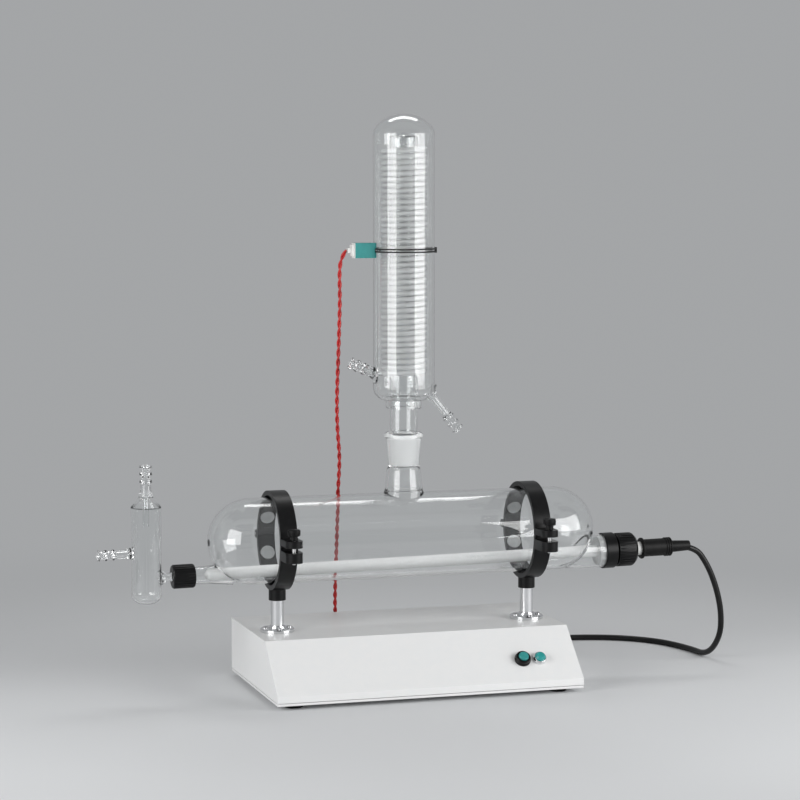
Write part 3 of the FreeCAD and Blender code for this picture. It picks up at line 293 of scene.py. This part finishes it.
heaterLead = {
    "radius": 0.00325,
    "length": 0.5805,
    "route": [(0.30527, 0.004, 0.13356), (0.33397, 0.004, 0.13396), (0.351, 0.004, 0.111),
              (0.362, 0.004, 0.084), (0.368, 0.004, 0.056), (0.3685, 0.008, 0.029), (0.367, 0.038, 0.0033),
              (0.364, 0.082, 0.0033), (0.350, 0.130, 0.0033), (0.316, 0.166, 0.0033), (0.268, 0.184, 0.0033),
              (0.218, 0.187, 0.0033), (0.172, 0.180, 0.0045), (0.136, 0.163, 0.012), (0.116, 0.143, 0.023),
              (0.110, 0.122, 0.029), (0.110, 0.100, 0.029)],
}
leadCurve = nurbsRoute("heater_lead.cord", heaterLead["route"], 16)
leadCurve.bevel_depth = heaterLead["radius"]
leadCurve.bevel_resolution = 6
leadCurve.use_fill_caps = True
leadCurve.materials.append(finish["leadRubber"])
lead = bpy.data.objects.new("heater_lead.cord", leadCurve)
bpy.context.scene.collection.objects.link(lead)
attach(lead, "stand")
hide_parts("heater_lead")

sensorPair = {
    "radius": 0.00225,
    "strand": 0.00114,
    "pitch": 0.021,
    "step": 0.0013,
    "length": 0.4605,
    "route": [(-0.063, 0.004, 0.461), (-0.068, 0.0045, 0.453), (-0.0695, 0.007, 0.440),
              (-0.0675, 0.0115, 0.410), (-0.067, 0.017, 0.375), (-0.0665, 0.0235, 0.340),
              (-0.066, 0.030, 0.306), (-0.0635, 0.038, 0.272), (-0.058, 0.047, 0.238),
              (-0.0575, 0.0565, 0.204), (-0.056, 0.067, 0.170), (-0.0535, 0.0795, 0.136),
              (-0.0505, 0.093, 0.102), (-0.0479, 0.1045, 0.072), (-0.0445, 0.115, 0.056),
              (-0.0428, 0.115, 0.045), (-0.042, 0.107, 0.040), (-0.042, 0.0905, 0.040)],
}


def splinePath(points):
    # The smooth line of a route, read from its curve with no bevel.
    curve = nurbsRoute("route", points, 24)
    holder = bpy.data.objects.new("route", curve)
    line = bpy.data.meshes.new_from_object(holder)
    path = [vertex.co.copy() for vertex in line.vertices]
    bpy.data.objects.remove(holder)
    bpy.data.meshes.remove(line)
    return path


def twistedPair(name, facts, material, body):
    path = splinePath(facts["route"])
    reach = [0.0]
    for a, b in zip(path, path[1:]):
        reach.append(reach[-1] + (b - a).length)
    count = int(reach[-1] / facts["step"])
    side = Vector((0, 1, 0))
    offset = facts["radius"] - facts["strand"]
    strands = [[], []]
    k = 0
    for step in range(count + 1):
        at = reach[-1] * step / count
        while k < len(path) - 2 and reach[k + 1] < at:
            k += 1
        spot = path[k].lerp(path[k + 1], (at - reach[k]) / (reach[k + 1] - reach[k]))
        heading = (path[k + 1] - path[k]).normalized()
        side = (side - heading * side.dot(heading)).normalized()
        for strand, turn in zip(strands, (0, math.pi)):
            angle = turn + 2 * math.pi * at / facts["pitch"]
            out = side * math.cos(angle) + heading.cross(side) * math.sin(angle)
            strand.append((spot + out * offset, heading, side.copy(), facts["strand"]))
    work = bmesh.new()
    for strand in strands:
        sweep(work, strand, 10)
    bmesh.ops.recalc_face_normals(work, faces=work.faces)
    return placed(name, work, [material], body, 60), path


pair, pairPath = twistedPair("sensor_wires.pair", sensorPair, "redWire", "stand")
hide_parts("sensor_wires")
print("cords laid")


# The condenser coil, wound closer than its solid, with the solid's own two ends.
coil = {
    "turns": 40,
    "radius": 0.0224,
    "tube": 0.0025,
    "endTube": 0.0032,
    "bend": 0.008,
    "low": boilerZ + 0.172,
    "high": boilerZ + 0.172 + 20 * 0.0118,
    "reach": 0.0315,
    "outTurn": math.radians(73),
    "stepsPerTurn": 32,
    "stepsPerBend": 6,
    "flareSteps": 20,
}


def coilPath(facts):
    r, bend = facts["radius"], facts["bend"]
    spreadAngle = math.asin(bend / (r + bend))
    start = math.pi + spreadAngle
    stop = 2 * math.pi * facts["turns"] + facts["outTurn"] - spreadAngle
    centre = Vector((0, boilerY, 0))

    def spot(radius, angle, height):
        return centre + Vector((radius * math.cos(angle), radius * math.sin(angle), height))

    def mouth(exitAngle, sign, height):
        # The end of the tube: out along a radius, then a quarter bend into the winding.
        out = Vector((math.cos(exitAngle), math.sin(exitAngle), 0))
        side = Vector((-out.y, out.x, 0)) * -sign
        hub = spot(r + bend, exitAngle + sign * spreadAngle, height)
        inner = spot(r, exitAngle + sign * spreadAngle, height) - hub
        outer = side * bend
        points = [spot(facts["reach"], exitAngle, height)]
        for k in range(facts["stepsPerBend"] + 1):
            arc = outer.lerp(inner, k / facts["stepsPerBend"]).normalized() * bend
            points.append(hub + arc)
        return points

    first = mouth(math.pi, 1, facts["low"])
    last = mouth(facts["outTurn"], -1, facts["high"])
    count = facts["turns"] * facts["stepsPerTurn"]
    middle = []
    for k in range(1, count):
        share = k / count
        height = facts["low"] + (facts["high"] - facts["low"]) * share
        middle.append(spot(r, start + (stop - start) * share, height))
    return first + middle + list(reversed(last))


path = coilPath(coil)
stations = []
across = Vector((0, 0, 1))
for k, spot in enumerate(path):
    heading = (path[min(k + 1, len(path) - 1)] - path[max(k - 1, 0)]).normalized()
    across = (across - heading * across.dot(heading)).normalized()
    ending = max(0, 1 - min(k, len(path) - 1 - k) / coil["flareSteps"])
    tube = coil["tube"] + (coil["endTube"] - coil["tube"]) * ending
    stations.append((spot, heading, across.copy(), tube))
coilWork = bmesh.new()
sweep(coilWork, stations, 12)
bmesh.ops.recalc_face_normals(coilWork, faces=coilWork.faces)
coilPiece = placed("condenser_coil.wound", coilWork, ["coilGlass"], nodes["condenser_coil"]["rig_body"], 60)
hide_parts("condenser_coil")
print("coil wound:", len(path), "stations")


# Pieces from the frame. Heights are above the boiler's axis.
groundCone = {"low": 0.0738, "high": 0.1058, "inner": 0.0126, "outer": 0.0149}
screwShank = {"radius": 0.0024, "top": 0.0086}


def frostedJoint(centre, normal):
    # The ground cone where the riser sits in the boiler's neck.
    away = math.hypot(centre.x, centre.y - boilerY)
    inCone = groundCone["low"] < centre.z - boilerZ < groundCone["high"]
    inWall = groundCone["inner"] < away < groundCone["outer"]
    return 1 if inCone and inWall and abs(normal.z) < 0.5 else 0


def whiteEdges(centre, normal):
    # The underside and the terminal end of the switch block.
    return 1 if normal.z < -0.7 or normal.x < -0.7 else 0


def steelShank(centre, normal):
    # The bare steel of a thumbscrew below its black knob.
    away = math.hypot(abs(centre.x) - clampX, centre.y - boilerY + screwReach)
    return 1 if away < screwShank["radius"] and centre.z < boilerZ + screwShank["top"] else 0


zones = {"boiler_vessel": frostedJoint, "steam_riser": frostedJoint, "thermal_switch": whiteEdges}
softPieces = {
    "base_cover": (["powderWhite"], 0.0012), "base_tray": (["trayWhite"], 0.0006),
    "rear_panel": (["powderWhite"], 0.0003), "rubber_feet": (["blackRubber"], 0.0006),
    "panel_screws": (["screwSteel"], 0.0002), "heater_seal": (["whiteSilicone"], 0.0005),
    "heater_ring": (["blackPlastic"], 0.0005), "heater_sleeve": (["whiteSleeve"], 0.0003),
    "heater_boot": (["blackRubber"], 0.0005), "strain_relief": (["blackRubber"], 0.0003),
    "lead_gland": (["blackPlastic"], 0.0004), "wire_grommet": (["blackRubber"], 0.0004),
    "button_housing": (["blackPlastic"], 0.0003), "button_nut": (["blackPlastic"], 0.0002),
    "lamp_bezel": (["chrome"], 0.0002), "lamp_lens": (["tealLens"], 0.0003),
    "lamp_nut": (["brassNut"], 0.0002), "terminal_block": (["greyPlastic"], 0.0004),
    "power_relay": (["blackPlastic"], 0.0006), "power_inlet": (["blackPlastic"], 0.0004),
    "inlet_blades": (["brassNut"], 0.0002), "fuse_holder": (["blackPlastic"], 0.0003),
    "level_seal": (["whiteSilicone"], 0.0003), "power_button": (["tealPlastic"], 0.0003),
    "thermal_switch": (["tealPlastic", "whiteSleeve"], 0.0005), "switch_terminals": (["whiteSleeve"], 0.0002),
    "switch_band": (["blackRubber"], 0.0), "level_cap": (["blackPlastic"], 0.0005),
    "heater_nut": (["blackPlastic"], 0.0004), "fuse_cap": (["blackPlastic"], 0.0004),
    "heater_element": (["heaterCore"], 0.0), "heater_tube": (["milkyQuartz"], 0.0),
    "boiler_vessel": (["clearGlass", "groundGlass"], 0.0), "condenser_jacket": (["clearGlass"], 0.0),
    "steam_riser": (["clearGlass", "groundGlass"], 0.0), "level_vessel": (["clearGlass"], 0.0),
}
for side in ("left", "right"):
    softPieces[f"post_{side}"] = (["chrome"], 0.0)
    softPieces[f"post_flange_{side}"] = (["chrome"], 0.0003)
    softPieces[f"flange_screws_{side}"] = (["screwSteel"], 0.0002)
    softPieces[f"lower_jaw_{side}"] = (["blackPlastic"], 0.0007)
    softPieces[f"upper_jaw_{side}"] = (["blackPlastic"], 0.0007)
    softPieces[f"lower_pads_{side}"] = (["whiteSilicone"], 0.0003)
    softPieces[f"upper_pads_{side}"] = (["whiteSilicone"], 0.0003)
    softPieces[f"hinge_pin_{side}"] = (["screwSteel"], 0.0002)
    softPieces[f"thumbscrew_{side}"] = (["blackPlastic", "screwSteel"], 0.0003)
    zones[f"thumbscrew_{side}"] = steelShank
for node, (materials, bevel) in softPieces.items():
    softCopy(node, materials, bevel, zones.get(node))
print("pieces dressed")

# Grip ridges on the turned black plastic pieces.
nutRidges = {"place": heaterLine, "count": 32, "radius": 0.01765, "proud": 0.0006, "width": 0.0018,
             "low": 0.2415, "high": 0.2585}
ridges("heater_nut", nutRidges, "blackPlastic")
capRidges = {"place": heaterLine, "count": 26, "radius": 0.012, "proud": 0.0004, "width": 0.0014,
             "low": -0.2492, "high": -0.2285}
ridges("level_cap", capRidges, "blackPlastic")
for side, x in (("left", -clampX), ("right", clampX)):
    knobRidges = {"place": Matrix.Translation((x, boilerY - screwReach, boilerZ)), "count": 24,
                  "radius": 0.0063, "proud": 0.00035, "width": 0.0008, "low": 0.0145, "high": 0.0196}
    ridges(f"thumbscrew_{side}", knobRidges, "blackPlastic")
print("ridges added")


# Stage and lights.
backdrop = (0.37, 0.378, 0.386)
plainSky = (0.22, 0.224, 0.228)
skyThroughGlass = (0.82, 0.83, 0.84)
floorTone = {"middle": (0.74, 0.75, 0.76), "dark": (0.735, 0.745, 0.755), "light": (0.745, 0.755, 0.765)}
floorReach = {"half": 12, "fadeStart": 0.45, "fadeEnd": 1.15}


def seenFactor(tree, rays):
    # 1 for what the camera sees directly, in a reflection or through glass.
    first = tree.nodes.new("ShaderNodeMath")
    first.operation = "MAXIMUM"
    second = tree.nodes.new("ShaderNodeMath")
    second.operation = "MAXIMUM"
    tree.links.new(rays.outputs["Is Camera Ray"], first.inputs[0])
    tree.links.new(rays.outputs["Is Transmission Ray"], first.inputs[1])
    tree.links.new(first.outputs[0], second.inputs[0])
    tree.links.new(rays.outputs["Is Glossy Ray"], second.inputs[1])
    return second.outputs[0]


def buildFloor():
    # A pale floor that runs into the backdrop's colour away from the object.
    work = bmesh.new()
    bmesh.ops.create_grid(work, x_segments=1, y_segments=1, size=floorReach["half"])
    mesh = bpy.data.meshes.new("floor")
    work.to_mesh(mesh)
    work.free()
    floor = bpy.data.objects.new("floor", mesh)
    bpy.context.scene.collection.objects.link(floor)
    material, shader = newMaterial("floorPale", floorTone["middle"], 0.7)
    noise = noiseOn(material, 3, 2)
    tint(material, noise.outputs["Fac"], floorTone["dark"], floorTone["light"], shader.inputs["Base Color"])
    tree = material.node_tree
    place = addNode(material, "ShaderNodeTexCoord")
    far = addNode(material, "ShaderNodeVectorMath", operation="LENGTH")
    join(material, place.outputs["Object"], far.inputs[0])
    fade = addNode(material, "ShaderNodeMapRange", interpolation_type="SMOOTHSTEP")
    fade.inputs["From Min"].default_value = floorReach["fadeStart"]
    fade.inputs["From Max"].default_value = floorReach["fadeEnd"]
    join(material, far.outputs["Value"], fade.inputs["Value"])
    seen = addNode(material, "ShaderNodeEmission")
    seen.inputs["Color"].default_value = (*backdrop, 1)
    share = addNode(material, "ShaderNodeMath", operation="MULTIPLY")
    join(material, fade.outputs["Result"], share.inputs[0])
    join(material, seenFactor(tree, addNode(material, "ShaderNodeLightPath")), share.inputs[1])
    mix = addNode(material, "ShaderNodeMixShader")
    join(material, share.outputs[0], mix.inputs["Fac"])
    join(material, shader.outputs[0], mix.inputs[1])
    join(material, seen.outputs[0], mix.inputs[2])
    join(material, mix.outputs[0], tree.nodes["Material Output"].inputs["Surface"])
    mesh.materials.append(material)


def buildWorld():
    world = bpy.data.worlds.new("studio")
    world.use_nodes = True
    bpy.context.scene.world = world
    tree = world.node_tree
    plain = tree.nodes["Background"]
    plain.inputs["Color"].default_value = (*plainSky, 1)
    seen = tree.nodes.new("ShaderNodeBackground")
    seen.inputs["Color"].default_value = (*backdrop, 1)
    mix = tree.nodes.new("ShaderNodeMixShader")
    tree.links.new(seenFactor(tree, tree.nodes.new("ShaderNodeLightPath")), mix.inputs["Fac"])
    tree.links.new(plain.outputs[0], mix.inputs[1])
    tree.links.new(seen.outputs[0], mix.inputs[2])
    # A matt piece behind glass gets less of the lamps' light, so through glass it meets a brighter sky.
    inside = tree.nodes.new("ShaderNodeBackground")
    inside.inputs["Color"].default_value = (*skyThroughGlass, 1)
    rays = tree.nodes.new("ShaderNodeLightPath")
    bounced = tree.nodes.new("ShaderNodeMath")
    bounced.operation = "GREATER_THAN"
    bounced.inputs[1].default_value = 0.5
    tree.links.new(rays.outputs["Diffuse Depth"], bounced.inputs[0])
    through = tree.nodes.new("ShaderNodeMath")
    through.operation = "MULTIPLY"
    tree.links.new(bounced.outputs[0], through.inputs[0])
    tree.links.new(rays.outputs["Is Transmission Ray"], through.inputs[1])
    last = tree.nodes.new("ShaderNodeMixShader")
    tree.links.new(through.outputs[0], last.inputs["Fac"])
    tree.links.new(mix.outputs[0], last.inputs[1])
    tree.links.new(inside.outputs[0], last.inputs[2])
    tree.links.new(last.outputs[0], tree.nodes["World Output"].inputs["Surface"])


def areaLight(name, azimuth, elevation, distance, width, height, watts, aim):
    # Azimuth 0 stands in front of the object, positive to its right.
    light = bpy.data.lights.new(name, "AREA")
    light.shape = "RECTANGLE"
    light.size = width
    light.size_y = height
    light.energy = watts
    lamp = bpy.data.objects.new(name, light)
    bpy.context.scene.collection.objects.link(lamp)
    a, e = math.radians(azimuth), math.radians(elevation)
    away = Vector((math.sin(a) * math.cos(e), -math.cos(a) * math.cos(e), math.sin(e)))
    lamp.location = Vector(aim) + away * distance
    lamp.rotation_euler = away.to_track_quat("Z", "Y").to_euler()
    lamp.visible_camera = False


buildFloor()
buildWorld()
areaLight("softLeft", azimuth=-63, elevation=0, distance=1.3, width=0.85, height=0.8, watts=11.2,
          aim=(0, 0, 0.52))
areaLight("softRight", azimuth=47, elevation=0, distance=1.3, width=1.05, height=0.8, watts=13.8,
          aim=(0, 0, 0.52))
areaLight("topSoft", azimuth=165, elevation=62, distance=1.4, width=0.8, height=0.25, watts=3,
          aim=(0, 0, 0.2))
print("stage and lights set")
